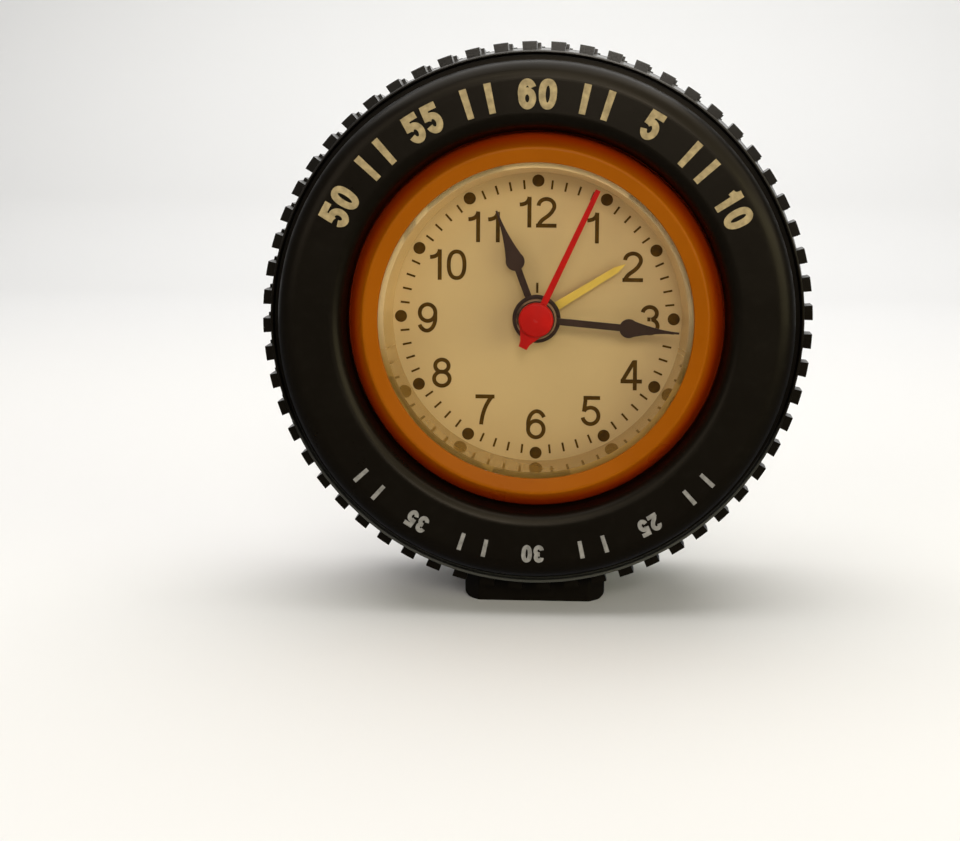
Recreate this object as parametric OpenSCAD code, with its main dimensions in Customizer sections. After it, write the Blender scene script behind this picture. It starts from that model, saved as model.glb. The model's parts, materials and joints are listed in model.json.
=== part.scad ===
// Table clock in the shape of a tyre, with its quartz alarm movement
// All sizes are in millimetres
// The pieces are drawn face up: x to the right, y up the dial, z toward the viewer

/* [Tyre] */
// Diameter over the shoulder rims, where the sidewalls meet the tread
rim_d = 92; // [88:0.5:100]
// How far the shoulder rim stands above the floor of the tread
rim_proud = 0.4; // [0.2:0.1:0.8]
// Height of a lug at the edge of the tread
lug_h = 2.1; // [1.2:0.1:3]
// How much the floor of the tread rises from its edges to its middle
crown = 2.2; // [1:0.1:2.4]
// How much the lug tops rise from the edges to the middle
lug_crown = 0.8; // [0.3:0.1:1.5]
// Lugs in one row round the tyre
lug_count = 60; // [40:1:72]
// Width of a lug along the tread
lug_w = 2.4; // [1.8:0.1:3.2]
// Rows of lugs across the tread
lug_rows = 4; // [2:1:6]
// Width of the groove between two rows
groove_w = 1.0; // [0.6:0.1:1.6]
// Width of the tread from shoulder to shoulder
tread_w = 28.8; // [26:0.2:32]
// Wall of the barrel under the floor of the tread
barrel_wall = 2.6; // [2.2:0.1:3]
// Depth of the whole tyre, from sidewall to sidewall
tyre_depth = 44; // [42:0.5:50]
// Wall of the moulded sidewalls
side_wall = 2.0; // [1.6:0.1:2.4]
// Radius of the round shoulder of the sidewall
shoulder_r = 3.6; // [2.5:0.1:4]
// Length of the spigots that centre the sidewalls in the barrel
spigot_l = 3.5; // [2.5:0.5:4]
// Rounding of the lip round the dial opening
lip_round = 2.2; // [1.2:0.1:3]

/* [Foot] */
// Width of the foot
foot_w = 25; // [20:0.5:30]
// Width of its front and rear face
foot_face_w = 19.6; // [14:0.2:20]
// Depth of the foot
foot_depth = 23; // [18:0.5:26]
// How far the foot reaches below the lugs
foot_drop = 2; // [1:0.1:4]
// Rounding of its lower edges
foot_round = 1.4; // [0.5:0.1:2.5]

/* [Rim ring and lens] */
// Diameter of the window in the rim ring
window_d = 53.6; // [52:0.1:55]
// Width of the rim ring that shows, from the window to the tyre
ring_w = 5.3; // [5:0.1:6]
// Width of its front face, from the window to the ridge
ring_face_w = 2.5; // [2.2:0.1:3.4]
// How far the ridge lies behind the front of the tyre
ring_sink = 0.6; // [0.2:0.1:1.5]
// How far the inner edge lies behind the ridge
ring_slope = 0.5; // [0.2:0.1:0.9]
// Height of the flank of the rim ring that shows
ring_flank = 4.8; // [3.5:0.1:5.5]
// Thickness of the lens
lens_t = 1.2; // [0.8:0.1:1.6]
// Edge of the lens that the rim ring covers
lens_edge = 1.25; // [0.8:0.05:1.6]

/* [Dial] */
// Clear height between dial and lens
dial_gap = 8.4; // [7.9:0.1:9]
// Thickness of the dial
dial_t = 0.6; // [0.4:0.1:1]
// How far the foot of the inner ring stands inside the window
inner_ring_step = 1.4; // [1.2:0.1:1.6]
// Width of the ledge of the inner ring that shows under the lens
inner_ring_ledge = 0.8; // [0.4:0.1:1.2]

/* [Hands] */
// Length of the hour hand
hour_len = 20; // [14:0.2:21]
// Length of the minute hand
minute_len = 24.8; // [20:0.2:25]
// Length of the seconds hand
second_len = 24.6; // [18:0.2:25]
// Length of the alarm hand
alarm_len = 18.2; // [13:0.2:20]
// Width of the spade on the hour and minute hands
spade_w = 3.3; // [2.5:0.1:4.5]
// Thickness of the hands
hand_t = 0.4; // [0.3:0.05:0.6]
// Angle of the hour hand, clockwise from twelve
hour_angle = 339; // [0:1:360]
// Angle of the minute hand
minute_angle = 95; // [0:1:360]
// Angle of the seconds hand
second_angle = 25; // [0:1:360]
// Angle of the alarm hand
alarm_angle = 58; // [0:1:360]

/* [Movement] */
// Thickness of the movement plates and walls
plate_t = 1.4; // [1.2:0.1:1.6]
// Thickness of a wheel
wheel_t = 0.8; // [0.6:0.05:0.9]
// Module of the fast wheels
fast_module = 0.25; // [0.24:0.005:0.26]
// Module of the centre wheel
centre_module = 0.2; // [0.195:0.005:0.205]
// Module of the minute wheel
minute_module = 0.4; // [0.39:0.005:0.41]
// Module of the alarm wheel
alarm_module = 0.35; // [0.345:0.005:0.355]
// Radius of the seconds arbor
arbor_r = 0.45; // [0.4:0.01:0.5]
// Wall of each tube on the centre arbor
tube_wall = 0.5; // [0.45:0.01:0.55]
// Running clearance of arbors in their holes
run = 0.06; // [0.04:0.01:0.08]

/* [Cell] */
// Diameter of the cell
cell_d = 14.5; // [14:0.1:14.5]
// Length of the cell with its knob
cell_l = 50.5; // [49.5:0.1:50.5]

/* [Back] */
// Thickness of the back panel
panel_t = 2.2; // [1.8:0.1:2.6]
// Thickness of the battery door
door_t = 1.0; // [0.8:0.1:1.2]
// Diameter of the time set knob
time_knob_d = 12.4; // [9:0.2:13]
// Diameter of the alarm set knob
alarm_knob_d = 10.4; // [8:0.2:12]
// Height of the knobs above the panel
knob_h = 6; // [4:0.2:8]
// Travel of the alarm switch
switch_travel = 4; // [2:0.2:5]

/* [Fits] */
// Clearance between moulded pieces
fit = 0.15; // [0.1:0.01:0.2]

/* [Hidden] */
$fn = 96;

// Tyre
rim_r = rim_d / 2;
half_tread = tread_w / 2;
half_depth = tyre_depth / 2;
floor_r = rim_r - rim_proud;
tip_r = floor_r + lug_crown + lug_h;
barrel_r = floor_r - barrel_wall;
spigot_r = barrel_r - fit;
row_w = (tread_w - (lug_rows - 1) * groove_w) / lug_rows;
rim_edge = 2.0;
rim_ledge = 1.7;
rim_wall = 0.5;
column_d = 4.6;
column_r = barrel_r - column_d / 2 - 0.2;
arc_step = 5;
edge_step = 18;
foot_y = -(tip_r + foot_drop);
foot_top = -(floor_r - 0.8);

// Depth levels from the rim ring back to the dial
window_r = window_d / 2;
ring_r = window_r + ring_w;
ridge_r = window_r + ring_face_w;
ridge_z = half_depth - ring_sink;
lens_front = ridge_z - ring_slope - 0.4;
lens_back = lens_front - lens_t;
lens_r = window_r + lens_edge;
dial_z = lens_back - dial_gap;
dial_back = dial_z - dial_t;
tube_r = lens_r + fit;
seat_z = ridge_z - ring_flank - 2;
flange_t = 1.6;
hole_r = ring_r + 0.45;
lip_r = hole_r + 0.6;
collar_r = hole_r + 3.3;
flange_r = hole_r + 3.6;
ring_screw_r = hole_r + 1.8;

// Gear teeth
pressure = 25;
addendum = 0.8;
dedendum = 1.05;
backlash = 0.05;
pinion_teeth = 10;
step_teeth = 50;
seconds_teeth = 60;
third_teeth = 75;
centre_teeth = 80;
cannon_teeth = 12;
minute_teeth = 36;
hour_teeth = 40;
setting_teeth = 24;
alarm_teeth = 48;
third_dist = centre_module * (pinion_teeth + centre_teeth) / 2;
third_module = 2 * third_dist / (pinion_teeth + third_teeth);
minute_dist = minute_module * (cannon_teeth + minute_teeth) / 2;
hour_module = 2 * minute_dist / (pinion_teeth + hour_teeth);
step_dist = fast_module * (pinion_teeth + seconds_teeth) / 2;
rotor_dist = fast_module * (pinion_teeth + step_teeth) / 2;
setting_dist = alarm_module * (setting_teeth + alarm_teeth) / 2;

// Arbor places on the plates
step_dir = 127;
third_dir = 62;
minute_dir = 178;
setting_dir = 5;
rotor_dir = 95;
step_at = polar(step_dist, step_dir);
third_at = polar(third_dist, third_dir);
minute_at = polar(minute_dist, minute_dir);
setting_at = polar(setting_dist, setting_dir);
rotor_at = step_at + polar(rotor_dist, rotor_dir);

// Depth levels of the movement
plate_back = dial_back - plate_t;
alarm_z = plate_back - 0.6 - wheel_t;
hour_z = alarm_z - 1.0 - wheel_t;
minute_z = hour_z - 0.8 - wheel_t;
bridge_top = minute_z - 0.5;
bridge_z = bridge_top - 1;
centre_z = bridge_z - 0.4 - wheel_t;
third_z = centre_z - 1.2 - wheel_t;
step_z = third_z - 0.6 - wheel_t;
seconds_z = step_z - 0.8 - wheel_t;
rear_z = seconds_z - 0.6;
movement_back = rear_z - plate_t;

// Cell bay and outline of the movement
cell_r = cell_d / 2;
bay_wall = 1.1;
contact_gap = 1.85;
bay_top = -(alarm_module * (alarm_teeth / 2 + addendum) + 0.7 + bay_wall);
cell_y = bay_top - 0.25 - cell_r;
cell_z = plate_back - 0.4 - cell_r;
bay_bottom = cell_y - cell_r - 0.5;
box_x = cell_l / 2 + contact_gap + plate_t;
box_y0 = bay_bottom - plate_t;
box_y1 = rotor_at[1] + 11;
ear_x = box_x + 3.5;
ear_y = 10;

// Tubes on the centre line, from the inside out
centre_bore = arbor_r + run;
centre_out = centre_bore + tube_wall;
hour_bore = centre_out + run;
hour_out = hour_bore + tube_wall;
alarm_bore = hour_out + run;
alarm_out = alarm_bore + tube_wall;
bush_bore = alarm_out + run;
bush_out = bush_bore + 1;
alarm_hand_z = dial_z + 1.2;
hour_hand_z = alarm_hand_z + 1.4;
minute_hand_z = hour_hand_z + 1.4;
second_hand_z = minute_hand_z + 1.5;

// Back panel
panel_in = min(movement_back, cell_z - cell_r) - 0.5;
panel_out = panel_in - panel_t;
door_w = cell_l + 2.7;
door_h = cell_d + 2.6;
door_round = 3;
recess_wall = 1.8;
recess_r = min(norm([door_w / 2 - door_round, abs(cell_y) + door_h / 2 - door_round]) + door_round + 1,
               spigot_r - 1.65 - recess_wall - 1.5);
rear_lip_r = recess_r + 1;
switch_at = [7 - box_x, 6];
buzzer_at = [box_x - 7, 8];

function polar(r, a) = [r * cos(a), r * sin(a)];
function unit(v) = v / norm(v);
function turn(a) = ((a + 540) % 360) - 180;

// One corner of an outline, rounded with radius f in steps of so many degrees
function corner(p, q, s, f, deg) =
    f <= 0 ? [q] :
    let (a = unit(p - q), b = unit(s - q), half = acos(a * b) / 2,
         c = q + unit(a + b) * f / sin(half),
         t = q + a * f / tan(half) - c, e = q + b * f / tan(half) - c,
         from = atan2(t[1], t[0]), sweep = turn(atan2(e[1], e[0]) - from),
         n = max(2, ceil(abs(sweep) / deg)))
    [for (i = [0 : n]) c + polar(f, from + sweep * i / n)];

// An outline whose points carry their own rounding as a third value
function rounded(pts, deg = arc_step) =
    let (n = len(pts), flat = [for (p = pts) [p[0], p[1]]])
    [for (i = [0 : n - 1])
        each corner(flat[(i + n - 1) % n], flat[i], flat[(i + 1) % n],
                    len(pts[i]) > 2 ? pts[i][2] : 0, deg)];

// Radius of the tread floor and of the lug tops at a depth
function floor_at(z) = floor_r + crown * (1 - pow(z / half_tread, 2));
function top_at(z) = floor_r + lug_h + lug_crown * (1 - pow(z / half_tread, 2));

// Involute teeth: angle of the flank, then the outline of a gear
function inv(a) = tan(a) * 180 / PI - a;
function flank(r, rp) =
    let (rb = rp * cos(pressure))
    inv(pressure) - inv(acos(min(1, rb / r)));
function gear_outline(n, m) =
    let (rp = n * m / 2, rb = rp * cos(pressure), ra = rp + addendum * m,
         rf = rp - dedendum * m, r0 = max(rb, rf), rm = (r0 + ra) / 2,
         half = 90 / n - backlash / rp * 90 / PI,
         a0 = half + flank(r0, rp), am = half + flank(rm, rp), aa = half + flank(ra, rp),
         low = rf < rb ? [rf] : [])
    [for (i = [0 : n - 1])
        let (c = 360 * i / n)
        each concat([for (r = low) polar(r, c - a0)],
                    [polar(r0, c - a0), polar(rm, c - am), polar(ra, c - aa),
                     polar(ra, c + aa), polar(rm, c + am), polar(r0, c + a0)],
                    [for (r = low) polar(r, c + a0)])];

// Puts a piece in its place: the dial faces -Y and the foot rests on Z = 0
module placed() {
    translate([0, 0, -foot_y]) rotate([90, 0, 0]) children();
}

module at(p, z = 0) {
    translate([p[0], p[1], z]) children();
}

// A straight round bar between two depths
module rod(r, z0, z1) {
    translate([0, 0, z0]) cylinder(r = r, h = z1 - z0);
}

// A ring between two depths
module tube(r_in, r_out, z0, z1) {
    difference() {
        rod(r_out, z0, z1);
        rod(r_in, z0 - 1, z1 + 1);
    }
}

// A box with rounded upright edges between two depths
module slab(x0, y0, x1, y1, r, z0, z1) {
    translate([0, 0, z0]) linear_extrude(z1 - z0)
        polygon(rounded([[x0, y0, r], [x1, y0, r], [x1, y1, r], [x0, y1, r]], edge_step));
}

// A gear whose tooth, or whose gap, points in direction dir
module gear(n, m, z, t, dir, gap = false) {
    translate([0, 0, z]) rotate([0, 0, dir + (gap ? 180 / n : 0)])
        linear_extrude(t) polygon(gear_outline(n, m));
}

// A screw: head from z0 to z1, then a shank on to z2
module screw(head_r, shank_r, z0, z1, z2) {
    rod(shank_r, z1, z2);
    difference() {
        rod(head_r, z0, z1);
        for (a = [0, 90]) rotate([0, 0, a])
            translate([-head_r * 0.6, -0.2, z0 - 0.4]) cube([head_r * 1.2, 0.4, 0.9]);
    }
}

module three(r, from) {
    for (i = [0 : 2]) at(polar(r, from + 120 * i)) children();
}

module four_ears() {
    for (x = [-ear_x, ear_x], y = [-ear_y, ear_y]) at([x, y]) children();
}

// Tyre

// The barrel with its rows of lugs, each row a tenth of a pitch on from the row before it
module tread_barrel() {
    step = groove_w + row_w;
    gap = 2 * PI * (tip_r - lug_h) / lug_count - lug_w;
    edge = [for (i = [-6 : 6]) half_tread * i / 6];
    color("#161616") difference() {
        rotate_extrude() polygon(concat(
            [[barrel_r, half_tread], [barrel_r, -half_tread]],
            [for (z = edge) [top_at(z), z]]));
        for (i = [1 : lug_rows - 1])
            tread_groove(-half_tread + i * step - groove_w);
        for (i = [0 : lug_rows - 1])
            row_of_gaps(-half_tread + i * step, gap, (120 - 36 * (lug_rows - 1 - i)) / lug_count);
        translate([-foot_w, foot_top - 20, -foot_depth / 2 - fit])
            cube([2 * foot_w, 20, foot_depth + 2 * fit]);
        foot_screw_places() rod(1.2, -4, 4);
    }
}

module tread_groove(z) {
    r = floor_at(z + groove_w / 2);
    rotate_extrude() translate([r, z]) square([lug_h + 2, groove_w]);
}

module row_of_gaps(z, gap, offset) {
    mid = z + row_w / 2;
    slope = atan(2 * crown * mid / pow(half_tread, 2));
    for (i = [0 : lug_count - 1])
        rotate([0, 0, offset + (i + 0.5) * 360 / lug_count])
            translate([floor_at(mid) + 0.05, 0, mid]) rotate([0, -slope, 0])
                translate([0, -gap / 2, -row_w / 2 - groove_w / 2])
                    cube([lug_h + 2, gap, row_w + groove_w]);
}

// Outer line of a sidewall: the thin shoulder rim, a groove, the round shoulder and the lip.
// The rounds shrink together where the face between them is narrow.
function sidewall_line(lip, round) =
    let (face = rim_r - 2.0 - lip, k = min(1, face / (0.97 * shoulder_r + 0.9 * round + 0.1)))
    [[spigot_r, half_tread],
     [rim_r, half_tread],
     [rim_r, half_tread + rim_edge, 0.2],
     [rim_r - rim_wall, half_tread + rim_edge, 0.2],
     [rim_r - rim_wall, half_tread + 0.8, 0.2],
     [rim_r - rim_ledge, half_tread + 0.8, 0.3],
     [rim_r - 2.0, half_depth, shoulder_r * k],
     [lip, half_depth, round * k]];

module front_sidewall() {
    in_r = spigot_r - 1.65;
    hollow_out = rim_r - 2.0 - side_wall;
    hollow_in = min(collar_r + 0.3, hollow_out - 1);
    corner_r = min(2, (hollow_out - hollow_in) * 0.4);
    color("#161616") difference() {
        union() {
            rotate_extrude() polygon(rounded(concat(sidewall_line(lip_r, lip_round), [
                [hole_r, seat_z + 2.4, 0.6],
                [hole_r, seat_z],
                [collar_r, seat_z],
                [hollow_in, half_depth - side_wall, corner_r / 2],
                [hollow_out, half_depth - side_wall - 0.2, corner_r],
                [rim_r - 2.4 - side_wall, half_tread + 1.2, 0.6],
                [in_r, half_tread],
                [in_r, half_tread - spigot_l],
                [spigot_r, half_tread - spigot_l]])));
            three(column_r, 90) rod(column_d / 2, -4, half_depth - 3.4);
        }
        three(column_r, 90) rod(1.2, -5, 8);
        three(ring_screw_r, 0) rod(0.95, seat_z - 1, seat_z + 4);
    }
}

// Rear sidewall and the recessed back panel in one moulding
module rear_case() {
    in_r = spigot_r - 1.65;
    wall = recess_wall;
    color("#161616") difference() {
        union() {
            mirror([0, 0, 1]) rotate_extrude() polygon(rounded(concat(sidewall_line(rear_lip_r, 1.2), [
                [recess_r, -panel_out, 0.8],
                [0, -panel_out],
                [0, -panel_in],
                [recess_r + wall, -panel_in, 0.8],
                [rear_lip_r + wall, half_depth - side_wall - 0.4, 0.4],
                [rim_r - 2.0 - side_wall, half_depth - side_wall - 0.4, 0.4],
                [rim_r - 2.4 - side_wall, half_tread + 1.2, 0.6],
                [in_r, half_tread],
                [in_r, half_tread - spigot_l],
                [spigot_r, half_tread - spigot_l]])));
            three(column_r, 90) rod(column_d / 2, -half_depth + 3, -4);
        }
        three(column_r, 90) rod(1.3, -half_depth, 0);
        three(column_r, 90) rod(1.75, -half_depth - 1, -half_depth + 4.5);
        door_outline(0, door_round, panel_out - 1, panel_out + door_t);
        door_outline(1.2, 0.3, panel_out - 1, panel_in + 1);
        at(minute_at) rod(2.3, panel_out - 1, panel_in + 1);
        at(setting_at) rod(2.3, panel_out - 1, panel_in + 1);
        at(switch_at) slab(-1.6, -1.6 - switch_travel / 2, 1.6, 1.6 + switch_travel / 2, 0.4,
                           panel_out - 1, panel_in + 1);
        for (i = [-2 : 2])
            at(buzzer_at + [i * 2.2, 0]) slab(-0.6, -4.5 + abs(i), 0.6, 4.5 - abs(i), 0.55,
                                              panel_out - 1, panel_in + 1);
    }
}

// Outline of the battery door, kept inside the recess
module door_outline(inset, round, z0, z1) {
    intersection() {
        at([0, cell_y]) slab(-door_w / 2 + inset, -door_h / 2 + inset, door_w / 2 - inset, door_h / 2 - inset,
                             round, z0, z1);
        rod(recess_r - 0.6 - inset, z0 - 1, z1 + 1);
    }
}

module foot_screw_places() {
    for (z = [-6, 6]) translate([0, -barrel_r, z]) rotate([-90, 0, 0]) children();
}

module foot() {
    w = foot_w / 2;
    f = foot_face_w / 2;
    d = foot_depth / 2;
    color("#121212") difference() {
        intersection() {
            translate([0, foot_y, 0]) rotate([-90, 0, 0]) linear_extrude(foot_top - foot_y)
                polygon(rounded([[-f, d, 0.8], [-w, d - 2.7, 0.8],
                                 [-w, -d + 2.7, 0.8], [-f, -d, 0.8],
                                 [f, -d, 0.8], [w, -d + 2.7, 0.8],
                                 [w, d - 2.7, 0.8], [f, d, 0.8]], edge_step));
            translate([0, 0, -d]) linear_extrude(2 * d)
                polygon(rounded([[-w, foot_top], [-w, foot_y, foot_round],
                                 [w, foot_y, foot_round], [w, foot_top]], edge_step));
        }
        foot_screw_places() rod(1.1, -5.4, 0);
    }
}

module foot_screws() {
    color("#9a9a98") foot_screw_places() mirror([0, 0, 1]) screw(1.8, 1.0, -1.5, -0.1, 5);
}

// Rim ring, lens and dial

module rim_ring() {
    f = seat_z - flange_t;
    color("#e08a1e") difference() {
        union() {
            rotate_extrude() polygon(rounded([
                [flange_r, f], [flange_r, seat_z], [ring_r + 0.3, seat_z],
                [ring_r, ridge_z - ring_flank, 0.3], [ridge_r, ridge_z, 0.6],
                [window_r, ridge_z - ring_slope, 0.25], [window_r, lens_front],
                [tube_r, lens_front], [tube_r, dial_back], [tube_r + 2, dial_back], [tube_r + 2, f]]));
            four_ears() rod(2.2, dial_back, f + 0.5);
        }
        four_ears() rod(1.1, dial_back - 1, seat_z - 0.4);
        three(ring_screw_r, 0) rod(1.05, f - 1, seat_z + 1);
        three(column_r, 90) rod(column_d / 2 + fit, f - 1, seat_z + 1);
    }
}

module ring_screws() {
    f = seat_z - flange_t;
    color("#9a9a98") three(ring_screw_r, 0) screw(1.7, 0.85, f - 1.2, f, seat_z + 3.4);
}

module lens() {
    color("#e8f0f2", 0.25) rotate_extrude() polygon(rounded([
        [0, lens_back], [lens_r, lens_back], [lens_r, lens_front, 0.2], [0, lens_front]]));
}

module inner_ring() {
    foot_r = window_r - inner_ring_step;
    waist_r = window_r + lens_edge - 0.45;
    color("#ded9c4") rotate_extrude() polygon(rounded([
        [foot_r, dial_z], [lens_r, dial_z], [lens_r, dial_z + 1.2], [waist_r, dial_z + 1.2, 0.2],
        [waist_r, lens_back - 1.2, 0.2], [lens_r, lens_back - 1.2], [lens_r, lens_back],
        [window_r - inner_ring_ledge, lens_back]]));
}

module dial() {
    color("#e9e4cf") tube(bush_out + fit, lens_r, dial_back, dial_z);
}

// Hands, drawn along y and turned clockwise to their angle

module hand_at(angle, z) {
    translate([0, 0, z]) rotate([0, 0, -angle]) children();
}

// Stem with a spade whose sides run in a hollow curve to the tip
module spade(length, start, root) {
    w = spade_w / 2;
    side = [for (i = [0 : 8]) let (t = i / 8)
        [w * (0.1 + 0.9 * pow(1 - t, 1.9)), start + w + (length - start - w) * t]];
    union() {
        translate([-0.6, root]) square([1.2, start + w - root]);
        translate([0, start + w]) circle(w);
        polygon(concat([for (p = side) p], [for (i = [8 : -1 : 0]) [-side[i][0], side[i][1]]]));
    }
}

module hand(hub_r, bore, hub_t) {
    difference() {
        union() {
            linear_extrude(hand_t) children();
            rotate_extrude() polygon(rounded([[0, 0], [hub_r, 0], [hub_r, hub_t, 0.3], [0, hub_t]]));
        }
        rod(bore + 0.02, -1, hub_t + 1);
    }
}

module alarm_hand() {
    color("#e2b62c") hand_at(alarm_angle, alarm_hand_z) hand(3.2, alarm_out, 0.7)
        polygon([[-0.8, 0], [0.8, 0], [0.55, alarm_len - 2], [0, alarm_len], [-0.55, alarm_len - 2]]);
}

module hour_hand() {
    color("#141414") hand_at(hour_angle, hour_hand_z) hand(4.2, hour_out, 0.8)
        spade(hour_len, 9, 0);
}

module minute_hand() {
    color("#141414") hand_at(minute_angle, minute_hand_z) hand(3.5, centre_out, 0.8)
        spade(minute_len, 14.4, 0);
}

module second_hand() {
    color("#c3202c") hand_at(second_angle, second_hand_z) {
        difference() {
            union() {
                linear_extrude(hand_t)
                    polygon([[-0.6, 0], [-2.3, -1.7], [-0.9, -4.4], [-0.75, -5.4], [0.75, -5.4],
                             [0.9, -4.4], [2.3, -1.7], [0.6, 0], [0.45, second_len], [-0.45, second_len]]);
                rotate_extrude() polygon(rounded([[0, 0], [3, 0], [3, 1.1, 0.5], [0, 1.3]]));
            }
            rod(arbor_r + 0.02, -1, 0.9);
        }
    }
}

// Movement

module box_outline(inset, z0, z1) {
    slab(-box_x + inset, box_y0 + inset, box_x - inset, box_y1 - inset, 5 - inset, z0, z1);
}

module front_plate() {
    color("#d9d7cf") difference() {
        union() {
            box_outline(0, plate_back, dial_back);
            four_ears() rod(3.4, plate_back, dial_back);
            for (y = [-ear_y, ear_y])
                slab(-ear_x, y - 3.4, ear_x, y + 3.4, 0.2, plate_back, dial_back);
            rod(bush_out, plate_back, dial_z + 0.3);
        }
        rod(bush_bore, plate_back - 1, dial_z + 2);
        four_ears() rod(1.1, plate_back - 1, dial_back + 1);
        at(minute_at) rod(0.5 + run, plate_back - 1, dial_back - 0.4);
        at(setting_at) rod(0.5 + run, plate_back - 1, dial_back - 0.4);
    }
}

bridge_posts = [[-16.4, -6.2], [14.5, -5.5], [-14.5, 9.5], [14.5, 16]];
board_posts = [[box_x - 6, -6], [box_x - 6, box_y1 - 5]];

module movement_case() {
    color("#cfcdc4") difference() {
        union() {
            difference() {
                box_outline(0, movement_back, plate_back);
                box_outline(plate_t, rear_z, plate_back + 1);
            }
            slab(-box_x + 0.7, bay_top, box_x - 0.7, bay_top + bay_wall, 0.2, movement_back, plate_back);
            for (p = bridge_posts) at(p) rod(1.7, rear_z - 0.5, bridge_z);
            for (p = board_posts) at(p) rod(1.5, rear_z - 0.5, centre_z);
        }
        slab(-box_x + plate_t, bay_bottom, box_x - plate_t, bay_top, 1, movement_back - 1, rear_z + 1);
        for (p = bridge_posts) at(p) rod(0.8, bridge_z - 4, bridge_z + 1);
        rod(0.35 + run, movement_back - 1, rear_z + 1);
        for (p = [step_at, third_at, rotor_at]) at(p) rod(0.35 + run, movement_back - 1, rear_z + 1);
        at(minute_at) rod(0.9 + run, movement_back - 1, rear_z + 1);
        at(setting_at) rod(0.9 + run, movement_back - 1, rear_z + 1);
        at(buzzer_at) rod(3, movement_back - 1, rear_z + 1);
        at(switch_at) slab(-1.4, -1.4 - switch_travel / 2, 1.4, 1.4 + switch_travel / 2, 0.2,
                           movement_back - 1, rear_z + 1);
    }
}

module train_bridge() {
    color("#e4e2da") difference() {
        slab(-18.4, -8, 16.5, rotor_at[1] + 3.2, 2, bridge_z, bridge_top);
        for (p = bridge_posts) at(p) rod(0.9, bridge_z - 1, bridge_top + 1);
        rod(centre_out + run, bridge_z - 1, bridge_top + 1);
        for (p = [step_at, third_at, rotor_at]) at(p) rod(0.35 + run, bridge_z - 1, bridge_top + 1);
        at(minute_at) rod(1.1, bridge_z - 1, bridge_top + 1);
        at(setting_at) rod(1.1, bridge_z - 1, bridge_top + 1);
    }
}

module bridge_screws() {
    color("#b9b9b6") for (p = bridge_posts) at(p) mirror([0, 0, 1])
        screw(1.4, 0.7, -bridge_top - 0.8, -bridge_top, -bridge_z + 3);
}

module movement_screws() {
    color("#b9b9b6") four_ears() screw(2.0, 1.0, plate_back - 1.3, plate_back, seat_z - 0.8);
}

// Arbor with a thin pivot at each end
module arbor(r, z0, z1, pivot0, pivot1) {
    rod(r, z0, z1);
    rod(0.35, pivot0, z0 + 0.2);
    rod(0.35, z1 - 0.2, pivot1);
}

module rotor() {
    color("#54565a") at(rotor_at) {
        rod(2.6, third_z, bridge_z - 0.6);
        gear(pinion_teeth, fast_module, step_z - 0.4, wheel_t + 1.2, rotor_dir + 180);
        arbor(0.6, rear_z + 0.3, bridge_z - 0.3, movement_back + 0.2, bridge_top);
    }
}

module step_wheel() {
    color("#e8e6df") at(step_at) {
        gear(step_teeth, fast_module, step_z, wheel_t, rotor_dir, true);
        gear(pinion_teeth, fast_module, seconds_z - 0.3, wheel_t + 1.2, step_dir + 180);
        arbor(0.45, rear_z + 0.2, bridge_z - 0.2, movement_back + 0.2, bridge_top);
    }
}

module seconds_wheel() {
    color("#e8e6df") {
        gear(seconds_teeth, fast_module, seconds_z, wheel_t, step_dir, true);
        gear(pinion_teeth, third_module, seconds_z + 0.4, third_z - seconds_z + 0.7, third_dir);
        rod(arbor_r, seconds_z - 0.3, second_hand_z + 0.8);
        rod(0.35, movement_back + 0.2, seconds_z);
    }
}

module third_wheel() {
    color("#e8e6df") at(third_at) {
        gear(third_teeth, third_module, third_z, wheel_t, third_dir + 180, true);
        gear(pinion_teeth, centre_module, third_z + 0.4, centre_z - third_z + 0.7, third_dir + 180);
        arbor(0.5, rear_z + 0.2, bridge_z - 0.2, movement_back + 0.2, bridge_top);
    }
}

module centre_wheel() {
    color("#e8e6df") difference() {
        union() {
            gear(centre_teeth, centre_module, centre_z, wheel_t, third_dir, true);
            gear(cannon_teeth, minute_module, bridge_top + 0.2, minute_z + wheel_t + 0.3 - bridge_top,
                 minute_dir);
            rod(centre_out, centre_z, minute_hand_z + 0.9);
        }
        rod(centre_bore, centre_z - 1, minute_hand_z + 2);
    }
}

module minute_wheel() {
    color("#e8e6df") at(minute_at) {
        gear(minute_teeth, minute_module, minute_z, wheel_t, minute_dir + 180, true);
        gear(pinion_teeth, hour_module, minute_z + 0.4, hour_z + wheel_t - minute_z + 0.2,
             minute_dir + 180);
        rod(0.9, panel_out - 1.5, plate_back - 0.3);
        rod(0.5, plate_back - 0.6, dial_back - 0.5);
    }
}

module hour_wheel() {
    color("#e8e6df") difference() {
        union() {
            gear(hour_teeth, hour_module, hour_z, wheel_t, minute_dir, true);
            rod(hour_out, hour_z, hour_hand_z + 0.9);
        }
        rod(hour_bore, hour_z - 1, hour_hand_z + 2);
    }
}

module alarm_wheel() {
    color("#d8b13c") difference() {
        union() {
            gear(alarm_teeth, alarm_module, alarm_z, wheel_t, setting_dir, true);
            rod(alarm_out, alarm_z, alarm_hand_z + 0.8);
        }
        rod(alarm_bore, alarm_z - 1, alarm_hand_z + 2);
    }
}

module alarm_setting_wheel() {
    color("#d8b13c") at(setting_at) {
        gear(setting_teeth, alarm_module, alarm_z - 0.2, wheel_t + 0.4, setting_dir + 180);
        rod(0.9, panel_out - 1.5, plate_back - 0.3);
        rod(0.5, plate_back - 0.6, dial_back - 0.5);
    }
}

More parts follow.
